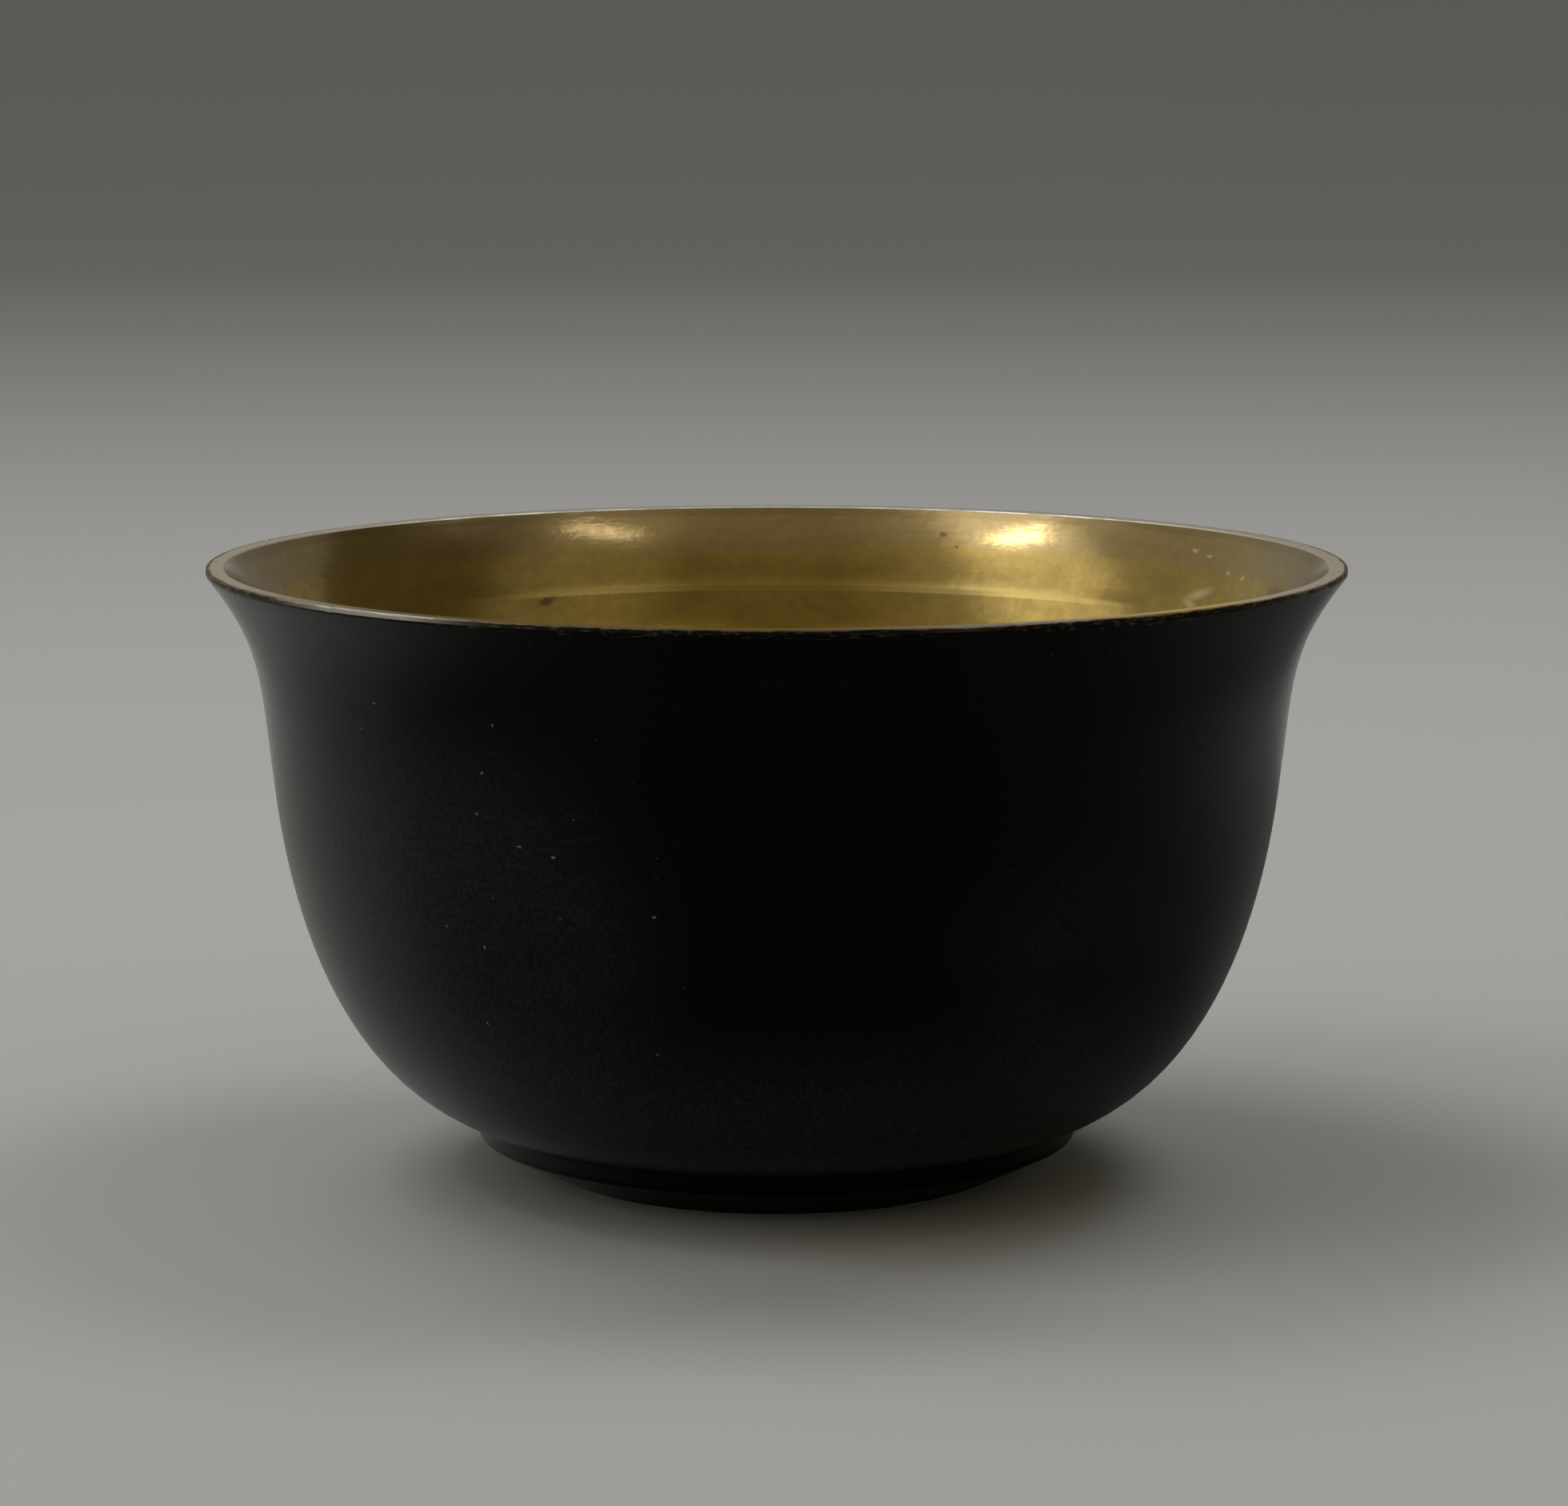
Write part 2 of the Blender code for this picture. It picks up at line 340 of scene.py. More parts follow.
# %% The outline's sizes
LIP_EDGE = 0.0008           # upright outer edge below the flat top
LIP_ROUND = 0.00025
LIP_UNDER_ROUND = 0.0003    # where the upright edge turns into the flare
FLARE_ANGLE = radians(52)
WAIST_INSET = 0.0081
WAIST_DEPTH = 0.0265
WAIST_ANGLE = radians(83)
WALL_AT_LIP = 0.00225
WALL = 0.0025
STEP_DEPTH = 0.0113         # from the lip down to the turned step inside
STEP_RAMP = 0.0018          # height over which the wall thins above it
STEP_EASE = 1.4             # over 1: steepest at the step, then dying out upwards
FLOOR = 0.0030
FOOT_RADIUS = 0.0386
FOOT_HEIGHT = 0.0070
FOOT_WALL = 0.0023
FOOT_ROUND = 0.0008
FOOT_FILLET = 0.0004        # in the corner under the belly
BASE_ANGLE = radians(17)
SHOULDER_REACH = 0.0096
RING_WIDTH = 0.0030
RING_ROUND = 0.0008
RING_INNER_ROUND = 0.0003
RECESS_DEPTH = 0.0035
RECESS_DRAFT = 0.0012
RECESS_ROUND = 0.0012
FLARE_PULLS = (0.417, 0.471)
BELLY_PULLS = (0.099, 0.451)
FLOOR_PULLS = (0.30, 0.45)

# %% The outline's curves
class Curve:
    """A Bezier curve in the section, from its ends, their slopes downwards and in, and two pulls."""

    def __init__(self, start, start_angle, end, end_angle, pulls):
        chord = (Vector(end) - Vector(start)).length
        self.a = Vector(start)
        self.b = self.a - Vector((cos(start_angle), sin(start_angle))) * pulls[0] * chord
        self.d = Vector(end)
        self.c = self.d + Vector((cos(end_angle), sin(end_angle))) * pulls[1] * chord

    def point(self, t):
        s = 1.0 - t
        return s**3 * self.a + 3 * s * s * t * self.b + 3 * s * t * t * self.c + t**3 * self.d

    def inward(self, t):
        """Unit vector square to the curve, into the bowl."""
        s = 1.0 - t
        way = s * s * (self.b - self.a) + 2 * s * t * (self.c - self.b) + t * t * (self.d - self.c)
        way.normalize()
        return Vector((way.y, -way.x))

    def at_height(self, height):
        """The t at which the curve passes a height."""
        samples = np.linspace(1.0, 0.0, 400)
        return float(np.interp(height, [self.point(float(t)).y for t in samples], samples))


lip_corner = (MOUTH_RADIUS, HEIGHT - LIP_EDGE)
waist = (MOUTH_RADIUS - WAIST_INSET, HEIGHT - WAIST_DEPTH)
flare = Curve(lip_corner, FLARE_ANGLE, waist, WAIST_ANGLE, FLARE_PULLS)
belly = Curve(waist, WAIST_ANGLE, (FOOT_RADIUS, FOOT_HEIGHT), BASE_ANGLE, BELLY_PULLS)

# %% [markdown]
# The inside follows the outside at the wall's thickness. A little below the lip is a turned step: the wall thins
# upwards from it, quickly at first and then less, so it shows in the far wall as a soft band of light that ends in a
# crisp line. Rings are set close together there to keep that line.

# %% The inside of the wall
FLARE_RINGS = 12
BELLY_RINGS = 26
FLOOR_RINGS = 12
STEP_HEIGHT = HEIGHT - STEP_DEPTH
STEP_RINGS = (-0.00025, -0.0001, 0.0, 0.0002, 0.0005, 0.0009, 0.0013, 0.0018, 0.0023)   # heights above the step


def inner_point(curve, t):
    """The inside of the wall behind a point of an outer curve."""
    outside = curve.point(t)
    below_ramp = min(max(1.0 - (outside.y - STEP_HEIGHT) / STEP_RAMP, 0.0), 1.0)
    wall = WALL_AT_LIP + (WALL - WALL_AT_LIP) * below_ramp ** STEP_EASE
    return outside + curve.inward(t) * wall


def inner_wall():
    """From the edge of the bottom up to the lip."""
    points = [inner_point(belly, 1.0 - ring / BELLY_RINGS) for ring in range(BELLY_RINGS)]
    even = [ring / FLARE_RINGS for ring in range(1, FLARE_RINGS + 1)]
    close = [flare.at_height(STEP_HEIGHT + rise) for rise in STEP_RINGS]
    clear = [t for t in even if not min(close) - 0.02 < t < max(close) + 0.02]
    return points + [inner_point(flare, t) for t in sorted(clear + close, reverse=True)]


def bottom(side):
    """The inside of the bottom, from the middle to where the wall begins."""
    middle = (0.0, RECESS_DEPTH + FLOOR)
    curve = Curve(side, BASE_ANGLE, middle, 0.0, FLOOR_PULLS)
    return [curve.point(1.0 - ring / FLOOR_RINGS) for ring in range(FLOOR_RINGS)]

# %% [markdown]
# Now the whole outline is listed as corners, in one run from the middle of the inside, over the lip, down the
# outside and in to the middle of the underside. Each corner carries its rounding and the finish of the metal that
# follows it. An arc takes the place of each corner that has a rounding, with one more point just before and after
# it, which keeps the flats next to it flat when the surface is shaded smooth.

# %% The whole outline
ARC_STEPS = 4
LONGEST_STRETCH = 0.0035
INSIDE, LIP, OUTSIDE, RING = range(4)


def outline_corners():
    """(radius, height, rounding, finish) for every corner and curve point."""
    wall = inner_wall()
    inside = wall[-1]
    top_inner = inner_point(flare, 0.0)
    inner_edge = top_inner.x + (HEIGHT - top_inner.y) / tan(FLARE_ANGLE)
    ring_outer = FOOT_RADIUS - SHOULDER_REACH
    ring_inner = ring_outer - RING_WIDTH
    corners = [(point.x, point.y, 0.0, INSIDE) for point in bottom(wall[0]) + wall]
    corners += [(inner_edge, HEIGHT, LIP_ROUND, LIP), (MOUTH_RADIUS, HEIGHT, LIP_ROUND, LIP)]
    corners += [(*lip_corner, LIP_UNDER_ROUND, OUTSIDE)]
    outer = [flare.point(ring / FLARE_RINGS) for ring in range(1, FLARE_RINGS)]
    outer += [belly.point(ring / BELLY_RINGS) for ring in range(BELLY_RINGS)]
    corners += [(point.x, point.y, 0.0, OUTSIDE) for point in outer]
    corners += [
        (FOOT_RADIUS, FOOT_HEIGHT, FOOT_FILLET, OUTSIDE),
        (FOOT_RADIUS, FOOT_HEIGHT - FOOT_WALL, FOOT_ROUND, OUTSIDE),
        (ring_outer, 0.0, RING_ROUND, RING),
        (ring_inner, 0.0, RING_INNER_ROUND, RING),
        (ring_inner - RECESS_DRAFT, RECESS_DEPTH, RECESS_ROUND, OUTSIDE),
        (0.0, RECESS_DEPTH, 0.0, OUTSIDE),
    ]
    return corners


def arc(before, corner, after, rounding):
    """Points round a corner, with a supporting point on each side."""
    back, ahead = (before - corner).normalized(), (after - corner).normalized()
    half = back.angle(ahead) / 2
    reach = rounding / tan(half)
    centre = corner + (back + ahead).normalized() * rounding / sin(half)
    first, last = corner + back * reach - centre, corner + ahead * reach - centre
    turn = atan2(first.cross(last), first.dot(last))
    points = [corner + back * (reach + 0.4 * rounding)]
    for step in range(ARC_STEPS + 1):
        angle = turn * step / ARC_STEPS
        points.append(centre + Vector((first.x * cos(angle) - first.y * sin(angle),
                                       first.x * sin(angle) + first.y * cos(angle))))
    return points + [corner + ahead * (reach + 0.4 * rounding)]


def outline():
    """Two lists: the outline's points (radius, height), and the finish of the stretch after each."""
    corners = outline_corners()
    points, finishes = [], []
    for number, (r, z, rounding, finish) in enumerate(corners):
        here = [Vector((r, z))]
        if rounding:
            before, after = Vector(corners[number - 1][:2]), Vector(corners[number + 1][:2])
            here = arc(before, here[0], after, rounding)
        if points:
            gap = here[0] - points[-1]
            count = int(gap.length / LONGEST_STRETCH)
            points += [points[-1] + gap * step / (count + 1) for step in range(1, count + 1)]
            finishes += [finishes[-1]] * count
        points += here
        finishes += [finish] * len(here)
    return points, finishes


points, finishes = outline()
print(f"outline: {len(points)} points")

# %% [markdown]
# The outline becomes a mesh of vertices and edges that lies in the XZ plane. It also carries what the lathe and the
# finishes will want to know at each point: how far along the outline it is, and how close to the lip's outer edge,
# where knocks have left small nicks.

# %% The outline as a mesh
NICK_REACH = 0.0012         # how far from the lip's outer edge a nick reaches

steps = [0.0] + [(b - a).length for a, b in zip(points, points[1:])]
along = np.cumsum(steps)
edge = Vector((MOUTH_RADIUS, HEIGHT))
knock = [exp(-((point - edge).length / NICK_REACH) ** 2) for point in points]

sketch = bpy.data.meshes.new("bowl_outline")
sketch.from_pydata([(point.x, 0.0, point.y) for point in points], [(n, n + 1) for n in range(len(points) - 1)], [])
sketch.attributes.new("along", "FLOAT", "POINT").data.foreach_set("value", along)
sketch.attributes.new("knock", "FLOAT", "POINT").data.foreach_set("value", knock)
sketch.attributes.new("finish", "FLOAT", "POINT").data.foreach_set("value", [float(f) for f in finishes])
drawing = bpy.data.objects.new("bowl_outline", sketch)
bpy.context.scene.collection.objects.link(drawing)


def along_at(finish, last=False):
    """How far along the outline a finish begins, or where its last point is."""
    places = [place for place, kind in zip(along, finishes) if kind == finish]
    return float(places[-1] if last else places[0])


LIP_START, LIP_END = along_at(LIP), along_at(OUTSIDE)
RING_START, RING_END = along_at(RING), along_at(RING, last=True)
OUTLINE_LENGTH = float(along[-1])
print(f"lip from {1000 * LIP_START:.1f} to {1000 * LIP_END:.1f} mm along, ring from {1000 * RING_START:.1f}")

# %% [markdown]
# A turned shape is one outline carried round an axis, which is a rule, so Geometry Nodes can be the lathe. The tree
# makes a flat grid with one column for each step round and one row for each outline point, then moves every vertex
# to its place on the bowl. Each row reads its radius and height from the outline. The edge that was the grid's
# seam, and the two middles, are closed by Merge by Distance. A Screw modifier would do the turning too, but here the same
# tree can also knock nicks into the lip and carry the measures over as attributes.

# %% The lathe as a node tree
SEGMENTS = 600
NICK_DEPTH = 0.00014
NICK_SIZE = 0.0022
SEED = 7.0
FINISH_NAMES = ("Inside", "Lip", "Outside", "Ring")


def tree_sockets(tree, inputs):
    """Names a tree's inputs, and gives back each name's identifier."""
    found = {}
    for name, kind, default in inputs:
        socket = tree.interface.new_socket(name, in_out="INPUT", socket_type="NodeSocket" + kind)
        if default is not None:
            socket.default_value = default
        found[name] = socket.identifier
    return found


def store(tree, geometry, name, value, kind="FLOAT", domain="POINT"):
    """Stores a value on every element under a name."""
    inputs = {"Geometry": geometry, "Name": name, "Value": value}
    node = add_node(tree, "GeometryNodeStoreNamedAttribute", inputs, data_type=kind, domain=domain)
    return node.outputs["Geometry"]


def stored(tree, name):
    """Reads such a value back."""
    node = add_node(tree, "GeometryNodeInputNamedAttribute", {"Name": name}, data_type="FLOAT")
    return node.outputs["Attribute"]


def from_outline(tree, outline_mesh, value, row, kind="FLOAT"):
    """What the outline has at a row."""
    inputs = {"Geometry": outline_mesh, "Value": value, "Index": row}
    return add_node(tree, "GeometryNodeSampleIndex", inputs, data_type=kind, domain="POINT").outputs["Value"]


def lathe():
    """The tree, and its inputs' identifiers by name."""
    tree = bpy.data.node_groups.new("lathe", "GeometryNodeTree")
    inputs = [("Outline", "Geometry", None), ("Segments", "Int", SEGMENTS), ("Nick Depth", "Float", 0.0),
              ("Nick Size", "Float", NICK_SIZE), ("Seed", "Float", 0.0), ("Length", "Float", OUTLINE_LENGTH)]
    inputs += [(name, "Material", None) for name in FINISH_NAMES]
    names = tree_sockets(tree, inputs)
    tree.interface.new_socket("Bowl", in_out="OUTPUT", socket_type="NodeSocketGeometry")
    given = add_node(tree, "NodeGroupInput").outputs
    drawn = given["Outline"]

    rows = add_node(tree, "GeometryNodeAttributeDomainSize", {0: drawn}, component="MESH").outputs["Point Count"]
    columns = maths(tree, "ADD", given["Segments"], 1.0)
    grid = add_node(tree, "GeometryNodeMeshGrid", {"Vertices X": columns, "Vertices Y": rows}).outputs["Mesh"]
    index = add_node(tree, "GeometryNodeInputIndex").outputs[0]
    row = maths(tree, "FLOORED_MODULO", index, rows)
    column = maths(tree, "FLOOR", maths(tree, "DIVIDE", maths(tree, "ADD", index, 0.5), rows))
    share = maths(tree, "DIVIDE", column, given["Segments"])

    mesh = store(tree, grid, "row", row)
    mesh = store(tree, mesh, "share", share)
    mesh = store(tree, mesh, "along", from_outline(tree, drawn, stored(tree, "along"), row))
    up_the_map = maths(tree, "DIVIDE", stored(tree, "along"), given["Length"])
    flat = add_node(tree, "ShaderNodeCombineXYZ", {0: stored(tree, "share"), 1: up_the_map}).outputs[0]
    mesh = store(tree, mesh, "UVMap", flat, kind="FLOAT2", domain="CORNER")

    position = add_node(tree, "GeometryNodeInputPosition").outputs[0]
    drawn_at = from_outline(tree, drawn, position, row, kind="FLOAT_VECTOR")
    drawn_at = add_node(tree, "ShaderNodeSeparateXYZ", {0: drawn_at}).outputs
    angle = maths(tree, "MULTIPLY", share, 2 * pi)
    spoke = add_node(tree, "ShaderNodeCombineXYZ", {0: maths(tree, "COSINE", angle), 1: maths(tree, "SINE", angle)})
    out = vector_maths(tree, "MULTIPLY", spoke.outputs[0], drawn_at[0])
    lift = add_node(tree, "ShaderNodeCombineXYZ", {2: drawn_at[2]}).outputs[0]

    cells = maths(tree, "DIVIDE", MOUTH_RADIUS, given["Nick Size"])
    inputs = {"Vector": spoke.outputs[0], "W": given["Seed"], "Scale": cells, "Detail": 1.0}
    bumps = add_node(tree, "ShaderNodeTexNoise", inputs, noise_dimensions="4D").outputs[0]
    nick = maths(tree, "MULTIPLY", ramp(tree, bumps, 0.60, 0.74), given["Nick Depth"])
    nick = maths(tree, "MULTIPLY", nick, from_outline(tree, drawn, stored(tree, "knock"), row))
    inward = vector_maths(tree, "SUBTRACT", vector_maths(tree, "MULTIPLY", spoke.outputs[0], (-0.6, -0.6, 0.0)),
                          (0.0, 0.0, 0.8))
    place = vector_maths(tree, "ADD", vector_maths(tree, "ADD", out, lift),
                         vector_maths(tree, "MULTIPLY", inward, nick))
    mesh = add_node(tree, "GeometryNodeSetPosition", {"Geometry": mesh, "Position": place}).outputs[0]
    mesh = add_node(tree, "GeometryNodeMergeByDistance", {"Geometry": mesh, "Distance": 1e-6}).outputs[0]
    mesh = add_node(tree, "GeometryNodeSetShadeSmooth", {"Geometry": mesh, "Shade Smooth": True}).outputs[0]
    mesh = add_node(tree, "GeometryNodeRealizeInstances", {"Geometry": mesh}).outputs[0]

    stretch = maths(tree, "FLOOR", stored(tree, "row"))
    finish = from_outline(tree, drawn, stored(tree, "finish"), stretch)
    for number, name in enumerate(FINISH_NAMES):
        chosen = maths(tree, "COMPARE", finish, float(number), 0.1)
        inputs = {"Geometry": mesh, "Selection": chosen, "Material": given[name]}
        mesh = add_node(tree, "GeometryNodeSetMaterial", inputs).outputs[0]
    add_node(tree, "NodeGroupOutput", {0: mesh})
    return tree, names


lathe_tree, lathe_inputs = lathe()
print(f"lathe: {len(lathe_tree.nodes)} nodes, inputs {', '.join(lathe_inputs)}")

# %% [markdown]
# The finishes share a few effects, and each of those is a node group that is built once. A group gives out only
# masks, from 0 to 1, and each material mixes its own colours with them.
# Turning leaves fine lines that run round the bowl. They are drawn as noise that is squeezed across the lines and
# stretched along them, so that each line fades in and out as a real tool mark does.

# %% Groups: a helper, and turning lines
def shader_group(name, inputs, output):
    """An empty group with its named sockets, and the outputs of its input node."""
    tree = bpy.data.node_groups.new(name, "ShaderNodeTree")
    tree_sockets(tree, inputs)
    tree.interface.new_socket(output, in_out="OUTPUT", socket_type="NodeSocketFloat")
    return tree, add_node(tree, "NodeGroupInput").outputs


MIDDLE = 0.030              # nearer to the axis than this, a pattern no longer narrows towards the middle


def round_the_bowl(tree, position, along_socket, across, down):
    """Coordinates that run round the bowl in steps of across and along its outline in steps of down."""
    level = vector_maths(tree, "MULTIPLY", position, (1.0, 1.0, 0.0))
    radius = maths(tree, "MAXIMUM", vector_maths(tree, "LENGTH", level, output="Value"), MIDDLE)
    turns = vector_maths(tree, "SCALE", level)
    tree.links.new(maths(tree, "DIVIDE", MOUTH_RADIUS, maths(tree, "MULTIPLY", across, radius)),
                   turns.node.inputs["Scale"])
    rise = add_node(tree, "ShaderNodeCombineXYZ", {2: maths(tree, "DIVIDE", along_socket, down)}).outputs[0]
    return vector_maths(tree, "ADD", turns, rise)


def turning_lines():
    tree, given = shader_group("turning_lines", [
        ("Position", "Vector", None), ("Along", "Float", 0.0),
        ("Line Length", "Float", 0.03), ("Spacing", "Float", 0.0005)], "Lines")
    place = round_the_bowl(tree, given["Position"], given["Along"], given["Line Length"], given["Spacing"])
    noise = add_node(tree, "ShaderNodeTexNoise", {"Vector": place, "Scale": 1.0, "Detail": 3.0, "Roughness": 0.6})
    add_node(tree, "NodeGroupOutput", {0: noise.outputs["Fac"]})
    return tree

# %% [markdown]
# Tarnish and polish come and go in clouds. The clouds are longer round the bowl than up it, because a cloth is
# rubbed round it. The two edges say where in the noise a cloud begins and where it is full.

# %% Groups: clouds and specks
def clouds():
    tree, given = shader_group("clouds", [
        ("Position", "Vector", None), ("Along", "Float", 0.0), ("Length", "Float", 0.03),
        ("Height", "Float", 0.01), ("Shift", "Float", 0.0), ("Begin", "Float", 0.45), ("Full", "Float", 0.65)],
        "Mask")
    place = round_the_bowl(tree, given["Position"], given["Along"], given["Length"], given["Height"])
    place = vector_maths(tree, "ADD", place, given["Shift"])
    noise = add_node(tree, "ShaderNodeTexNoise", {"Vector": place, "Scale": 1.0, "Detail": 4.0, "Roughness": 0.64})
    add_node(tree, "NodeGroupOutput", {0: ramp(tree, noise.outputs["Fac"], given["Begin"], given["Full"])})
    return tree


def specks():
    """Small dots of dust or corrosion, one in some of the cells of a grid in space."""
    tree, given = shader_group("specks", [
        ("Position", "Vector", None), ("Cell", "Float", 0.004), ("Size", "Float", 0.0002),
        ("Share", "Float", 0.3)], "Mask")
    scaled = vector_maths(tree, "SCALE", given["Position"])
    tree.links.new(maths(tree, "DIVIDE", 1.0, given["Cell"]), scaled.node.inputs["Scale"])
    cell = add_node(tree, "ShaderNodeTexVoronoi", {"Vector": scaled, "Scale": 1.0}, feature="F1").outputs
    luck = add_node(tree, "ShaderNodeSeparateColor", {0: cell["Color"]}).outputs
    size = maths(tree, "DIVIDE", maths(tree, "MULTIPLY", given["Size"], maths(tree, "ADD", luck[1], 0.4)),
                 given["Cell"])
    dot = ramp(tree, maths(tree, "DIVIDE", cell["Distance"], size), 1.0, 0.6)
    add_node(tree, "NodeGroupOutput", {0: maths(tree, "MULTIPLY", dot, maths(tree, "LESS_THAN", luck[0], given["Share"]))})
    return tree

# %% [markdown]
# Some marks are one of a kind: a scratch, a chip in the black, a dark spot in the brass. Each is put where it is
# on the bowl, by its angle from the front and its height. The edge of a mark can be made ragged by shaking the
# position a little before it is measured.

# %% Groups: one placed mark, and a worn band
def placed_mark():
    tree, given = shader_group("placed_mark", [
        ("Position", "Vector", None), ("Angle", "Float", 0.0), ("Height", "Float", 0.0),
        ("Half Length", "Float", 0.001), ("Half Height", "Float", 0.001), ("Tilt", "Float", 0.0),
        ("Softness", "Float", 0.4)], "Mask")
    spoke = vector_maths(tree, "NORMALIZE", vector_maths(tree, "MULTIPLY", given["Position"], (1.0, 1.0, 0.0)))
    sine, cosine = maths(tree, "SINE", given["Angle"]), maths(tree, "COSINE", given["Angle"])
    aim = add_node(tree, "ShaderNodeCombineXYZ", {0: sine, 1: maths(tree, "MULTIPLY", cosine, -1.0)}).outputs[0]
    along_lip = add_node(tree, "ShaderNodeCombineXYZ", {0: cosine, 1: sine}).outputs[0]
    side = maths(tree, "MULTIPLY", vector_maths(tree, "DOT_PRODUCT", spoke, along_lip, output="Value"), MOUTH_RADIUS)
    far_side = maths(tree, "LESS_THAN", vector_maths(tree, "DOT_PRODUCT", spoke, aim, output="Value"), 0.0)
    height = add_node(tree, "ShaderNodeSeparateXYZ", {0: given["Position"]}).outputs[2]
    above = maths(tree, "SUBTRACT", height, given["Height"])
    above = maths(tree, "SUBTRACT", above, maths(tree, "MULTIPLY", side, given["Tilt"]))
    across, up = maths(tree, "DIVIDE", side, given["Half Length"]), maths(tree, "DIVIDE", above, given["Half Height"])
    away = maths(tree, "SQRT", maths(tree, "MULTIPLY_ADD", across, across, maths(tree, "MULTIPLY", up, up)))
    away = maths(tree, "ADD", away, maths(tree, "MULTIPLY", far_side, 10.0))
    inner = maths(tree, "SUBTRACT", 1.0, given["Softness"])
    add_node(tree, "NodeGroupOutput", {0: ramp(tree, away, 1.0, inner)})
    return tree


def worn_band():
    """A band that starts at one place on the outline and ends raggedly a little further on."""
    tree, given = shader_group("worn_band", [
        ("Position", "Vector", None), ("Along", "Float", 0.0), ("Start", "Float", 0.0),
        ("Reach", "Float", 0.001), ("Ragged", "Float", 0.5), ("Patch Length", "Float", 0.008),
        ("Patch Height", "Float", 0.001)], "Mask")
    place = round_the_bowl(tree, given["Position"], given["Along"], given["Patch Length"], given["Patch Height"])
    noise = add_node(tree, "ShaderNodeTexNoise", {"Vector": place, "Scale": 1.0, "Detail": 4.0, "Roughness": 0.6})
    past = maths(tree, "ABSOLUTE", maths(tree, "SUBTRACT", given["Along"], given["Start"]))
    past = maths(tree, "DIVIDE", past, given["Reach"])
    uneven = maths(tree, "MULTIPLY", maths(tree, "SUBTRACT", noise.outputs["Fac"], 0.5), given["Ragged"])
    uneven = maths(tree, "MULTIPLY", uneven, 4.0)
    add_node(tree, "NodeGroupOutput", {0: ramp(tree, maths(tree, "ADD", past, uneven), 1.15, 0.85)})
    return tree


GROUPS = {group.name: group for group in (turning_lines(), clouds(), specks(), placed_mark(), worn_band())}
print(f"shader groups: {', '.join(GROUPS)}")

# %% [markdown]
# Every material of the bowl begins in the same way: it reads the position on the object and the distance along the
# outline, and has a shader of its own. A small class keeps those together, so that each finish below reads as a
# list of what it is made of.

# %% The start of every finish
class Finish:
    """One material of the bowl, with the places that its patterns are read from."""

    def __init__(self, name):
        self.material = bpy.data.materials.new(name)
        self.material.use_nodes = True
        self.tree = self.material.node_tree
        self.shader = self.tree.nodes["Principled BSDF"]
        self.position = add_node(self.tree, "ShaderNodeTexCoord").outputs["Object"]
        self.along = add_node(self.tree, "ShaderNodeAttribute", attribute_name="along").outputs["Fac"]

    def mask(self, group, position=None, **values):
        """The mask from one of the groups. Words in a socket's name are joined by _ here."""
        node = add_node(self.tree, "ShaderNodeGroup", node_tree=GROUPS[group])
        self.tree.links.new(position or self.position, node.inputs["Position"])
        if "Along" in node.inputs:
            self.tree.links.new(self.along, node.inputs["Along"])
        for name, value in values.items():
            node.inputs[name.replace("_", " ").title()].default_value = value
        return node.outputs[0]

    def shaken(self, size, amount):
        """The position, moved about by fine noise, for ragged edges."""
        inputs = {"Vector": self.position, "Scale": 1.0 / size, "Detail": 2.0}
        noise = add_node(self.tree, "ShaderNodeTexNoise", inputs).outputs["Color"]
        shift = vector_maths(self.tree, "MULTIPLY", vector_maths(self.tree, "SUBTRACT", noise, (0.5, 0.5, 0.5)),
                             (amount, amount, amount))
        return vector_maths(self.tree, "ADD", self.position, shift)

    def mix(self, factor, first, second):
        """A colour between two."""
        node = add_node(self.tree, "ShaderNodeMix", {0: factor, 6: first, 7: second}, data_type="RGBA")
        return node.outputs[2]

    def between(self, factor, first, second):
        """A number between two."""
        node = add_node(self.tree, "ShaderNodeMix", {0: factor, 2: first, 3: second}, data_type="FLOAT")
        return node.outputs[0]

    def most(self, *masks):
        """The strongest of several masks at each place."""
        strongest = masks[0]
        for other in masks[1:]:
            strongest = maths(self.tree, "MAXIMUM", strongest, other)
        return strongest

    def marks(self, position, places, **values):
        """The strongest of one placed mark for each (angle in degrees, height, half length, half height)."""
        made = [self.mask("placed_mark", position, angle=radians(angle), height=height, half_length=length,
                          half_height=tall, **values) for angle, height, length, tall in places]
        return self.most(*made)

    def times(self, *values):
        """The product of several numbers."""
        product = values[0]
        for other in values[1:]:
            product = maths(self.tree, "MULTIPLY", product, other)
        return product

    def bump(self, height, distance, strength=1.0):
        """Relief too fine for the mesh, on the shader's Normal."""
        node = add_node(self.tree, "ShaderNodeBump", {"Height": height, "Distance": distance, "Strength": strength})
        self.tree.links.new(node.outputs[0], self.shader.inputs["Normal"])

    def put(self, **sockets):
        """Fills the shader's sockets: links an output, sets a plain value."""
        for name, value in sockets.items():
            socket = self.shader.inputs[name.replace("_", " ").title().replace("Ior", "IOR")]
            if isinstance(value, bpy.types.NodeSocket):
                self.tree.links.new(value, socket)
            else:
                socket.default_value = value

# %% [markdown]
# The inside is bare brass that was polished long ago. Brass darkens in steps: from gold to olive, to brown, and
# near the lip, where fingers and dust reach it, to a grey taupe. So the colour is built in the same order, one
# thin layer of tarnish over another. Tarnish is also duller than polished metal, and each layer raises the
# roughness where it lies. The tint is deeper low down without any help, because the light there has
# already met the brass once on the other side.

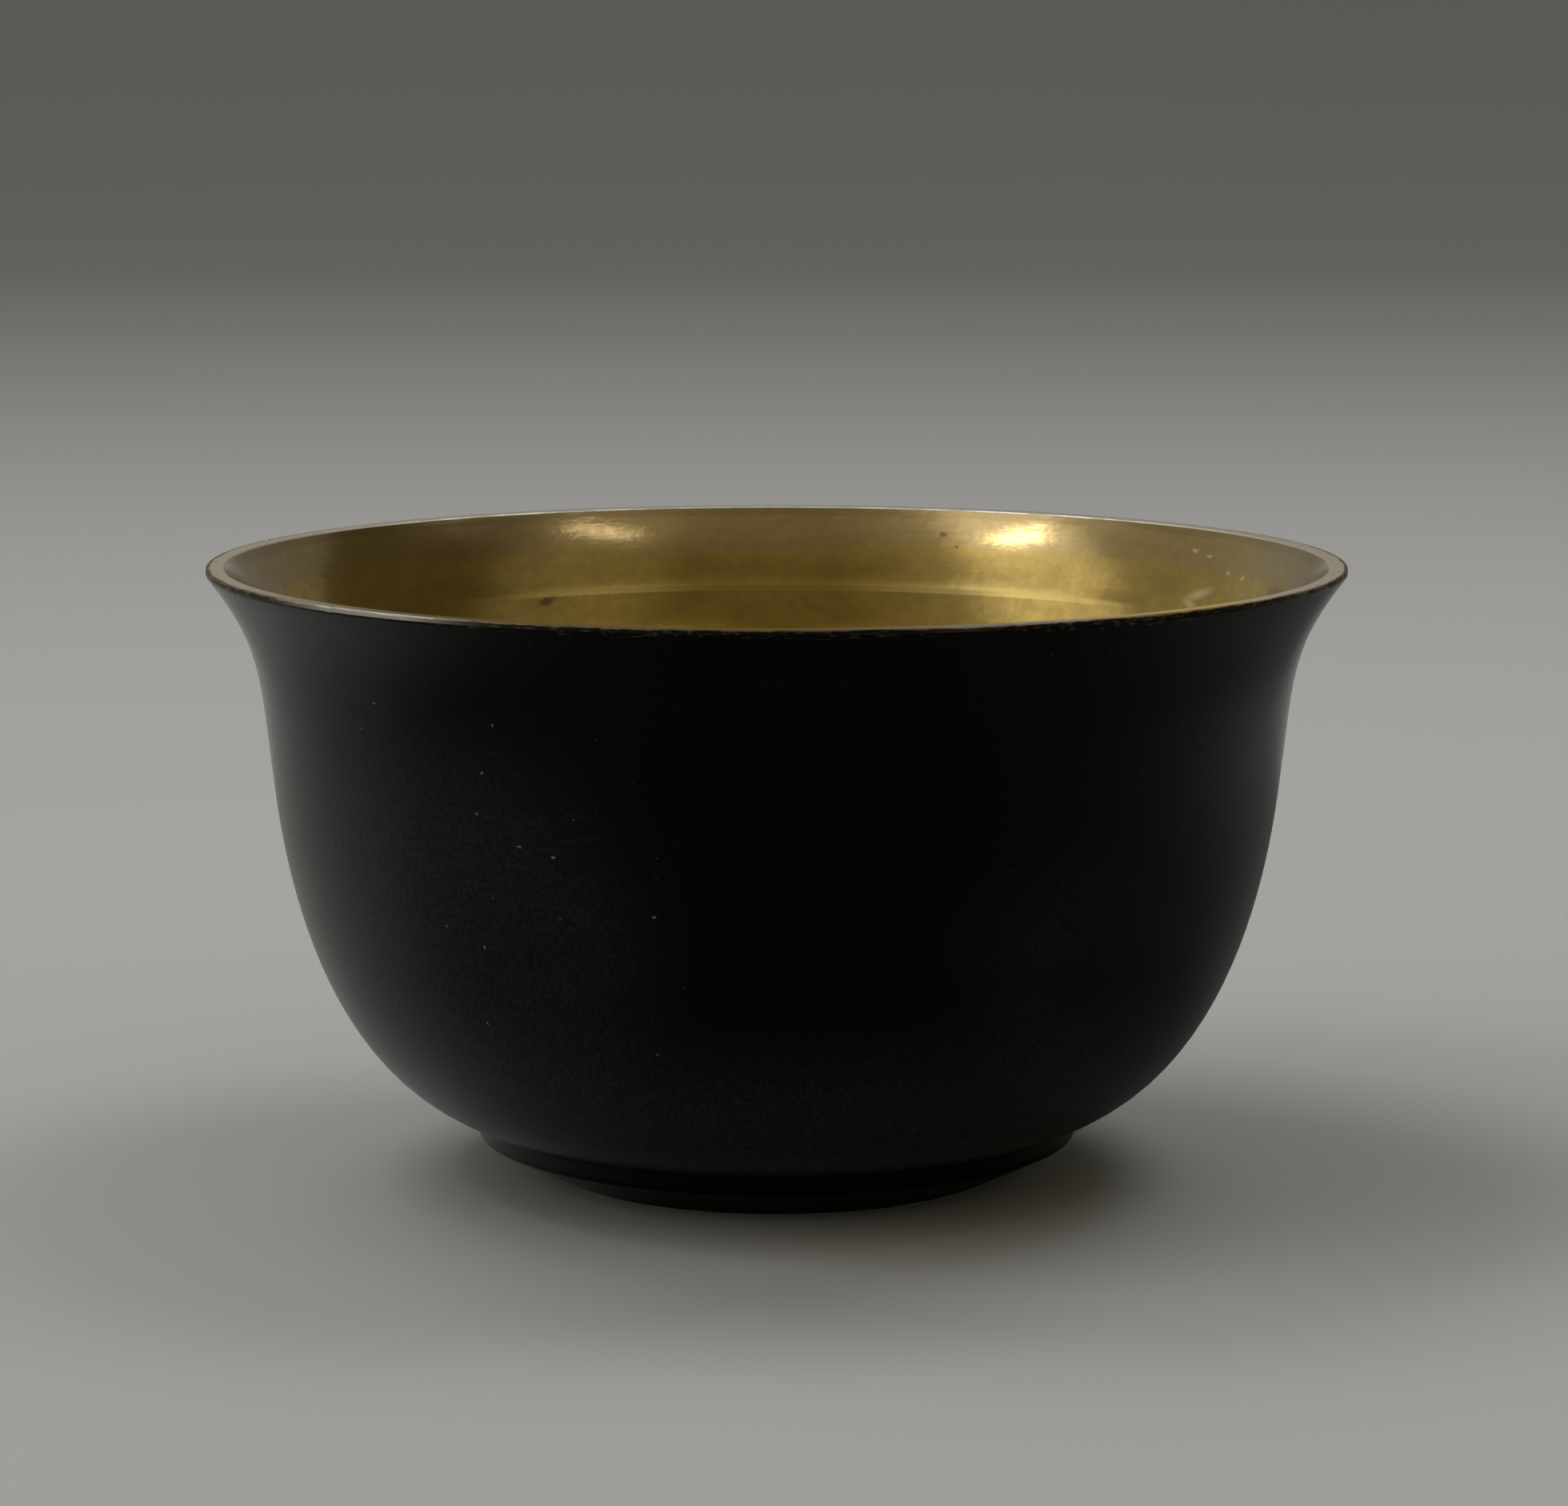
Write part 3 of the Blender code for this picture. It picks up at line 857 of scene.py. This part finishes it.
# %% The bare brass inside
BRASS = (0.62, 0.44, 0.135, 1.0)
OLIVE = (0.53, 0.405, 0.115, 1.0)
BROWN = (0.38, 0.25, 0.085, 1.0)
TAUPE = (0.48, 0.36, 0.18, 1.0)
EDGE_BROWN = (0.24, 0.18, 0.10, 1.0)
DEEP_BROWN = (0.28, 0.175, 0.050, 1.0)
GREEN_GREY = (0.40, 0.365, 0.23, 1.0)
SPOT = (0.13, 0.085, 0.035, 1.0)
PALE = (0.90, 0.76, 0.44, 1.0)
# the colour of the highlight painted on the crest of the step
CREST_HIGHLIGHT_COLOUR = (0.98, 0.74, 0.27, 1.0)
TARNISH_REACH = 0.0058      # below the lip's inner edge
EDGE_REACH = 0.0012
CREST_EDGE = 0.0002         # how quickly the painted highlight on the step's crest starts
CREST_FADE = 0.0019         # and where above the step it is gone
CREST_WEAK = [(180, 0.0672, 0.0200, 0.0400)]     # the stretch where the painted highlight is weak
CREST_LEFT = (-0.040, -0.030)                    # metres to the right of the middle: gone, and full
CREST_RIGHT = (0.050, 0.030)
# angle from the front in degrees, height, half length and half height
DARK_SPOTS = [(160, 0.0750, 0.0010, 0.0007), (158, 0.0735, 0.0005, 0.0004)]
SMUDGE = [(-150, 0.0668, 0.0026, 0.0009)]
BROWN_AREAS = [(127, 0.0712, 0.0060, 0.0026), (-138, 0.0742, 0.0060, 0.0022)]
DEEP_AREA = [(102, 0.0727, 0.0050, 0.0013)]
GREY_AREA = [(108, 0.0769, 0.0120, 0.0022)]
PALE_SPECKS = [(124, 0.07575, 0.0012, 0.0004), (121, 0.0752, 0.0012, 0.0003), (116, 0.0737, 0.0008, 0.0004),
               (112.5, 0.0734, 0.0010, 0.0003)]
STROKE_UP = [(120, 0.07035, 0.0044, 0.0011)]
STROKE_DOWN = [(121.2, 0.0690, 0.0030, 0.0008)]


def brass_inside():
    finish = Finish("bare_brass_inside")
    rough_place = finish.shaken(0.0012, 0.0010)
    olive = finish.mask("clouds", length=0.05, height=0.012, shift=1.0, begin=0.42, full=0.62)
    brown = finish.mask("clouds", length=0.010, height=0.0050, shift=4.0, begin=0.44, full=0.66)
    mottle = finish.mask("clouds", length=0.0020, height=0.0014, shift=6.0, begin=0.36, full=0.66)
    fog = finish.mask("worn_band", start=LIP_START, reach=TARNISH_REACH, ragged=0.30, patch_length=0.03,
                      patch_height=0.004)
    rim = finish.mask("worn_band", start=LIP_START, reach=EDGE_REACH, ragged=0.6, patch_length=0.012,
                      patch_height=0.0015)
    lines = finish.mask("turning_lines", line_length=0.05, spacing=0.0009)
    spots = finish.marks(rough_place, DARK_SPOTS, softness=0.8)
    smudge = finish.marks(rough_place, SMUDGE, tilt=-0.19, softness=1.0)
    worn_place = finish.shaken(0.0007, 0.0004)
    pale = finish.most(finish.marks(rough_place, PALE_SPECKS, softness=0.8),
                       finish.marks(worn_place, STROKE_UP, tilt=-0.25, softness=1.0),
                       finish.marks(worn_place, STROKE_DOWN, tilt=0.21, softness=1.0))
    right, _, height = add_node(finish.tree, "ShaderNodeSeparateXYZ", {0: finish.position}).outputs
    # Painted highlight: a pale band on the crest of the turned step, where its slope catches the light, kept near the
    # middle and weak straight at the back.
    crest_highlight = finish.times(ramp(finish.tree, height, STEP_HEIGHT, STEP_HEIGHT + CREST_EDGE),
                         ramp(finish.tree, height, STEP_HEIGHT + CREST_FADE, STEP_HEIGHT + CREST_EDGE),
                         ramp(finish.tree, right, *CREST_LEFT), ramp(finish.tree, right, *CREST_RIGHT))
    areas = finish.marks(rough_place, BROWN_AREAS, softness=1.0)
    deep_area = finish.marks(worn_place, DEEP_AREA, softness=0.9)
    grey_area = finish.marks(rough_place, GREY_AREA, softness=1.0)
    pits = finish.mask("specks", cell=0.0020, size=0.00016, share=0.30)
    crest_highlight_share = finish.between(finish.marks(finish.position, CREST_WEAK, softness=0.7), 0.75, 0.15)
    colour = finish.mix(finish.times(olive, 0.75), BRASS, OLIVE)
    colour = finish.mix(finish.times(brown, 0.42), colour, BROWN)
    colour = finish.mix(finish.times(fog, 0.75), colour, TAUPE)
    colour = finish.mix(finish.times(mottle, 0.34), colour, BROWN)
    colour = finish.mix(finish.times(crest_highlight, crest_highlight_share), colour, CREST_HIGHLIGHT_COLOUR)
    colour = finish.mix(finish.times(areas, 0.5), colour, BROWN)
    colour = finish.mix(finish.times(deep_area, 0.7), colour, DEEP_BROWN)
    colour = finish.mix(finish.times(grey_area, 0.6), colour, GREEN_GREY)
    colour = finish.mix(finish.times(pits, 0.35), colour, SPOT)
    colour = finish.mix(finish.times(rim, 0.28), colour, EDGE_BROWN)
    colour = finish.mix(finish.times(finish.most(spots, smudge), 0.75), colour, SPOT)
    colour = finish.mix(finish.times(pale, 0.9), colour, PALE)
    roughness = finish.between(mottle, 0.11, 0.19)
    roughness = finish.between(finish.times(olive, 0.5), roughness, 0.22)
    roughness = finish.between(finish.times(fog, 0.6), roughness, 0.15)
    roughness = finish.between(finish.most(spots, smudge), roughness, 0.5)
    finish.put(base_color=colour, roughness=roughness, metallic=1.0)
    waves = finish.mask("clouds", length=0.010, height=0.006, shift=8.0, begin=0.2, full=0.8)
    finish.bump(finish.between(0.75, lines, waves), 0.00003)
    return finish.material

# %% [markdown]
# The flat top of the lip is where hands and lids have rubbed the metal: dull, pale and grainy at the back and the
# sides, browner in front. The black skin of the outside still wraps round the lip's upright edge, and ends in a
# ragged line on the flat. Its roughness is high enough that it shows no picture of the room, only light and shade.
# On the left the skin is gone from the upright edge, and a near-white highlight is painted on the bare metal there.

# %% The worn lip
LIP_PALE = (0.81, 0.755, 0.64, 1.0)
LIP_GREY = (0.60, 0.555, 0.46, 1.0)
LIP_BROWN = (0.21, 0.140, 0.042, 1.0)
LIP_BRASS = (0.86, 0.65, 0.26, 1.0)
# the near-white of the highlight painted on the bare left edge
LIP_HIGHLIGHT = (0.95, 0.90, 0.80, 1.0)
FRINGE = (0.13, 0.098, 0.055, 1.0)       # the browned metal between bare lip and black skin
LIP_SHEEN = (0.72, 0.62, 0.46, 1.0)      # the tint that bare metal keeps where the eye grazes it
SKIN = (0.012, 0.010, 0.007, 1.0)
WORN_BROWN = (0.075, 0.060, 0.036, 1.0)
SKIN_REACH = 0.00050        # from the foot of the upright edge up
FRINGE_REACH = 0.00095
RUBBED_FRONT = [(-16, HEIGHT, 0.062, 0.020)]
BRASSY_RIGHT = [(42, HEIGHT, 0.020, 0.020)]
BARE_EDGE_AND_HIGHLIGHT = [(-42, HEIGHT, 0.024, 0.020)]        # where the upright edge has lost its skin, with a painted highlight on the bare metal
WORN_EDGE = [(17, HEIGHT, 0.0062, 0.020)]        # and where it is thin


def worn_lip():
    finish = Finish("worn_lip")
    grey = finish.mask("clouds", length=0.004, height=0.0010, shift=2.0, begin=0.40, full=0.60)
    front = finish.marks(finish.position, RUBBED_FRONT, softness=0.7)
    skin = finish.mask("worn_band", start=LIP_END, reach=SKIN_REACH, ragged=0.55, patch_length=0.0035,
                       patch_height=0.0008)
    fringe = finish.mask("worn_band", start=LIP_END, reach=FRINGE_REACH, ragged=0.25, patch_length=0.005,
                         patch_height=0.0008)
    chipped = finish.mask("clouds", length=0.0013, height=0.0005, shift=9.0, begin=0.50, full=0.66)
    colour = finish.mix(grey, LIP_PALE, LIP_GREY)
    colour = finish.mix(finish.marks(finish.position, BRASSY_RIGHT, softness=0.9), colour, LIP_BRASS)
    colour = finish.mix(finish.times(front, 0.95), colour, LIP_BROWN)
    bare_and_highlight = finish.marks(finish.position, BARE_EDGE_AND_HIGHLIGHT, softness=0.8)
    thin = finish.marks(finish.position, WORN_EDGE, softness=0.8)
    covered = finish.between(finish.most(bare_and_highlight, finish.times(thin, 0.3)), 1.0, 0.4)
    # Painted highlight: near-white on the bare upright edge at the left.
    colour = finish.mix(finish.times(fringe, bare_and_highlight), colour, LIP_HIGHLIGHT)
    fringe, skin = finish.times(fringe, covered), finish.times(skin, covered)
    colour = finish.mix(finish.times(fringe, 0.85), colour, FRINGE)
    colour = finish.mix(skin, colour, finish.mix(chipped, SKIN, WORN_BROWN))
    finish.put(base_color=colour, roughness=finish.between(grey, 0.40, 0.55),
               metallic=finish.between(skin, 0.9, 0.3), specular_tint=LIP_SHEEN, specular_ior_level=0.2)
    finish.bump(finish.mask("turning_lines", line_length=0.004, spacing=0.0002), 0.000010)
    return finish.material

# %% [markdown]
# The outside was blackened: a thin dark skin on the metal, with a satin gloss. From the front it gives almost
# nothing back, and it only turns grey where the eye grazes it, at both sides and under the belly. So it is a
# nearly black, weakly shiny surface, and its grey edges come mostly from the shader. Light is also painted into
# its colour: a cool tint on the left and right sides as a painted reflection of cool light, a paler grey on the
# left side as painted light, and a grey under the belly that grows towards the foot as a painted reflection of
# the floor. What makes it old is small: fine rub lines on the left, dust, pin-point chips, and brown patches just
# under the lip where the skin has worn through.

# %% The blackened outside
BLACK = (0.0006, 0.0006, 0.0005, 1.0)
# the cool tint painted on the sides as reflected light
PAINTED_COOL_LIGHT = (0.0120, 0.0155, 0.0160, 1.0)
RUBBED_BLACK = (0.026, 0.030, 0.030, 1.0)
# a paler grey painted on the left side as light falling there
PAINTED_LEFT_LIGHT = (0.045, 0.045, 0.039, 1.0)
# a cool grey painted on the low belly as a reflection of the floor
PAINTED_FLOOR_REFLECTION = (0.043, 0.050, 0.050, 1.0)
LEFT_LIGHT_SPAN = (-0.010, -0.052)             # metres to the right of the middle: where the painted light starts, and is full
LEFT_LIGHT_HIGH = (0.050, 0.070)               # metres above the floor, between which it thins out
FLOOR_REFLECTION_LOW = (0.034, 0.014)                # and between which the painted floor reflection grows, first a little, then more
FLOOR_REFLECTION_LOWEST = (0.013, 0.008)
FOOT_CLEAR = (FOOT_HEIGHT - 0.0004, FOOT_HEIGHT + 0.0010)
CHIP = (0.20, 0.19, 0.165, 1.0)
WORN_REACH = 0.0005
# angle from the front in degrees, height, half length and half height
RUBBED_SIDE = [(-31, 0.052, 0.024, 0.018)]
# where the cool tint of painted reflection lies, left and right
COOL_LIGHT_SIDES = [(-25, 0.036, 0.024, 0.028), (36, 0.035, 0.028, 0.020)]
WORN_PATCHES = [(28.1, 0.0776, 0.0005, 0.00020), (31.4, 0.0775, 0.0003, 0.00015),
                (34.9, 0.0777, 0.0008, 0.00020), (37.2, 0.0774, 0.0009, 0.00012)]
CHIPS = [
    (-46, 0.0665, 0.00030, 0.00022), (-49, 0.0630, 0.00022, 0.00022), (-30, 0.0655, 0.00022, 0.00022),
    (-32, 0.0595, 0.00036, 0.00018), (-33, 0.0545, 0.00024, 0.00024), (-28, 0.0510, 0.00030, 0.00022),
    (-24, 0.0500, 0.00036, 0.00024), (-39, 0.0400, 0.00022, 0.00022), (-34, 0.0380, 0.00022, 0.00022),
    (-13, 0.0435, 0.00036, 0.00022), (-36, 0.0280, 0.00022, 0.00022), (-14, 0.0260, 0.00022, 0.00022),
]


def black_outside():
    finish = Finish("blackened_outside")
    rough_place = finish.shaken(0.0006, 0.0005)
    rubbed_side = finish.marks(finish.position, RUBBED_SIDE, softness=0.9)
    # Painted reflection: a cool tint on the left and right sides, broken up by clouds.
    cool_light_clouds = finish.mask("clouds", length=0.03, height=0.02, shift=3.0, begin=0.36, full=0.62)
    cool = finish.times(finish.between(cool_light_clouds, 0.45, 1.0), finish.marks(finish.position, COOL_LIGHT_SIDES, softness=1.0))
    lines = finish.mask("turning_lines", line_length=0.007, spacing=0.00045)
    rubs = finish.times(ramp(finish.tree, lines, 0.56, 0.74), rubbed_side)
    grain = finish.mask("turning_lines", line_length=0.0006, spacing=0.0005)
    chips = finish.marks(rough_place, CHIPS, softness=0.6)
    dust = finish.mask("specks", cell=0.0024, size=0.00013, share=0.50)
    dust = finish.times(dust, finish.most(rubbed_side, 0.20), 0.80)
    place = add_node(finish.tree, "ShaderNodeSeparateXYZ", {0: finish.position}).outputs
    # Painted reflection of the floor: a grey on the low belly that grows towards the foot and stops at it.
    floor_reflection = maths(finish.tree, "ADD", ramp(finish.tree, place[2], *FLOOR_REFLECTION_LOW, 0.0, 0.5),
                     ramp(finish.tree, place[2], *FLOOR_REFLECTION_LOWEST, 0.0, 0.5))
    floor_reflection = finish.times(floor_reflection, ramp(finish.tree, place[2], *FOOT_CLEAR))
    # Painted light: a paler grey on the left side, thinning out high up.
    left_light = finish.times(ramp(finish.tree, place[0], *LEFT_LIGHT_SPAN, 0.0, 0.45),
                             ramp(finish.tree, place[2], *LEFT_LIGHT_HIGH, 1.0, 0.1))
    grains = finish.between(ramp(finish.tree, grain, 0.38, 0.68), 0.4, 1.0)
    worn = finish.mask("worn_band", start=LIP_END, reach=WORN_REACH, ragged=0.9, patch_length=0.004,
                       patch_height=0.0008)
    patchy = finish.mask("clouds", length=0.0016, height=0.0005, shift=9.0, begin=0.52, full=0.66)
    worn = finish.most(finish.times(worn, patchy, 0.7), finish.marks(rough_place, WORN_PATCHES, softness=0.5))
    colour = finish.mix(finish.times(cool, grains), BLACK, PAINTED_COOL_LIGHT)
    colour = finish.mix(finish.times(left_light, grains), colour, PAINTED_LEFT_LIGHT)
    colour = finish.mix(finish.times(floor_reflection, grains), colour, PAINTED_FLOOR_REFLECTION)
    colour = finish.mix(finish.times(rubs, 0.4), colour, RUBBED_BLACK)
    colour = finish.mix(worn, colour, WORN_BROWN)
    light_marks = finish.most(chips, dust)
    colour = finish.mix(light_marks, colour, CHIP)
    roughness = finish.between(grain, 0.24, 0.40)
    roughness = finish.between(finish.most(worn, light_marks), roughness, 0.6)
    finish.put(base_color=colour, roughness=roughness, metallic=finish.times(worn, 0.6), specular_ior_level=0.11)
    finish.bump(finish.between(0.6, lines, grain), 0.000040)
    return finish.material

# %% [markdown]
# The bowl rests on a narrow ring, and years of being set down have rubbed the black off it.

# %% The standing ring
RING_BROWN = (0.16, 0.125, 0.075, 1.0)
RING_METAL = (0.42, 0.33, 0.18, 1.0)


def standing_ring():
    finish = Finish("rubbed_ring")
    rubbed = finish.mask("clouds", length=0.010, height=0.0015, shift=5.0, begin=0.45, full=0.62)
    middle = (RING_START + RING_END) / 2
    core = finish.mask("worn_band", start=middle, reach=0.0018, ragged=0.35, patch_length=0.008,
                       patch_height=0.001)
    colour = finish.mix(finish.times(core, 0.85), BLACK, RING_BROWN)
    colour = finish.mix(finish.times(core, rubbed), colour, RING_METAL)
    finish.put(base_color=colour, roughness=finish.between(rubbed, 0.55, 0.40), metallic=finish.times(core, 0.8))
    finish.bump(finish.mask("turning_lines", line_length=0.02, spacing=0.0003), 0.000010)
    return finish.material

# %% [markdown]
# With the finishes made, the lathe can turn the bowl. The tree's inputs are set by their identifiers before Blender
# first evaluates the modifier. The result is copied out as a plain mesh, and the drawing and its modifier are
# removed, so that what is left is only the bowl's surface, closed and facing outwards.

# %% Turn the bowl
materials = {"Inside": brass_inside(), "Lip": worn_lip(), "Outside": black_outside(), "Ring": standing_ring()}
turning = drawing.modifiers.new("lathe", "NODES")
turning.node_group = lathe_tree
settings = {"Segments": SEGMENTS, "Nick Depth": NICK_DEPTH, "Nick Size": NICK_SIZE, "Seed": SEED,
            "Length": OUTLINE_LENGTH, **materials}
for name, value in settings.items():
    turning[lathe_inputs[name]] = value

graph = bpy.context.evaluated_depsgraph_get()
surface = bpy.data.meshes.new_from_object(drawing.evaluated_get(graph))
bpy.data.objects.remove(drawing, do_unlink=True)
surface.name = "turned_bowl"
if surface.materials[0] is None:     # the grid's own empty slot
    surface.materials.pop(index=0)
bowl = bpy.data.objects.new("turned_bowl", surface)
bpy.context.scene.collection.objects.link(bowl)


def enclosed_volume(mesh):
    """Signed volume: positive when the faces of a closed mesh point outwards."""
    mesh.calc_loop_triangles()
    corners = np.empty(len(mesh.loop_triangles) * 3, np.int32)
    mesh.loop_triangles.foreach_get("vertices", corners)
    places = np.empty(len(mesh.vertices) * 3)
    mesh.vertices.foreach_get("co", places)
    a, b, c = places.reshape(-1, 3)[corners.reshape(-1, 3)].transpose(1, 0, 2)
    return float(np.einsum("ij,ij->i", a, np.cross(b, c)).sum() / 6), len(mesh.loop_triangles)


volume, triangles = enclosed_volume(surface)
if volume < 0.0:
    surface.flip_normals()
print(f"turned_bowl: {triangles} triangles, {abs(volume) * 1e6:.2f} cm3, finishes "
      + ", ".join(slot.name for slot in surface.materials))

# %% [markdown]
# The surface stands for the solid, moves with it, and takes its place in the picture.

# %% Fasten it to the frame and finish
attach(bowl, "root")
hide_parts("bowl")
